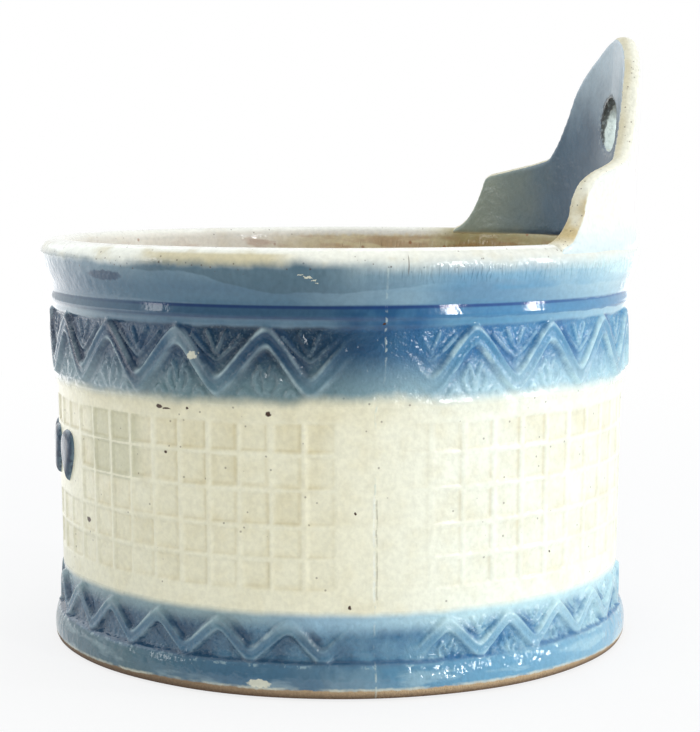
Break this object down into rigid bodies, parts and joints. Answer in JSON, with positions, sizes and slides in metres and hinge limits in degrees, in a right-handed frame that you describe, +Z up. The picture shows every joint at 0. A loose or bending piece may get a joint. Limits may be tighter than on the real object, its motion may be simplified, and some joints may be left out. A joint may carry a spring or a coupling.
{
  "type": "salt box",
  "caption": "Round moulded stoneware salt crock with rolled rim, zigzag and waffle relief, and a shouldered hanging crest with a nail hole.",
  "frame": {"origin": "centre of the flat base, on the surface that the crock stands on", "axes": "+Z up, -Y towards the decorated front, +Y towards the hanging crest and the wall it hangs on, X through the two mould seams"},
  "size_m": [0.152, 0.152, 0.152],
  "materials": {
    "wall_glaze": "glossy salt-white glaze with cobalt-blue bands, over moulded relief",
    "floor_glaze": "tan glaze inside, bare fired clay below",
    "crest_glaze": "grey-blue glaze with bare cream edges",
    "drop_glaze": "glossy dark cobalt glaze"
  },
  "bodies": {
    "root": {"front_wall": "wall_glaze", "back_wall": "wall_glaze", "floor_disc": "floor_glaze", "hanging_crest": "crest_glaze", "front_boss_1": "drop_glaze", "front_boss_2": "drop_glaze", "front_boss_3": "drop_glaze", "front_boss_4": "drop_glaze"}
  },
  "joints": []
}
